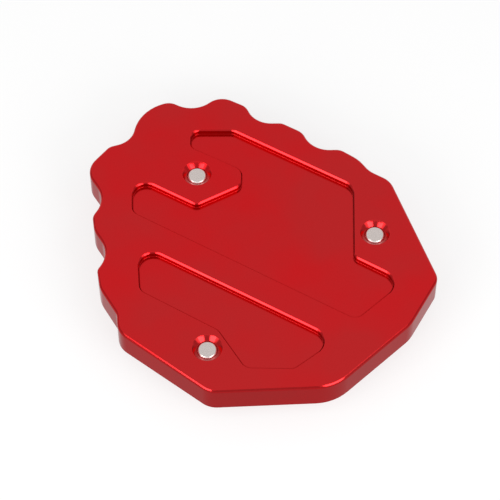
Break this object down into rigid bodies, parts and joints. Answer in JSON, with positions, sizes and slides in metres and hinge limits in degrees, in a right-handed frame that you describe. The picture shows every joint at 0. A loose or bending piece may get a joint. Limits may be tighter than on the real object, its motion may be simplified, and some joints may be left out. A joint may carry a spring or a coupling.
{
  "type": "side stand foot enlarger",
  "caption": "Flat metal plate with a scalloped edge, milled pockets in its road face and an open clamp frame below, which widens the foot of a motorcycle's side stand.",
  "frame": {"origin": "middle of the plan outline, at the bottom of the clamp frame that the part lies on", "axes": "+Z out of the road face, +X along the longest extent to the mouth of the slot for the stand's leg"},
  "size_m": [0.0958, 0.081, 0.013],
  "materials": {
    "red_anodised": "satin red anodised, bright milled edges",
    "screw_steel": "plain stainless steel"
  },
  "bodies": {
    "root": {"base_plate": "red_anodised", "clamp_frame": "red_anodised", "clamp_screws": "screw_steel"}
  },
  "joints": []
}
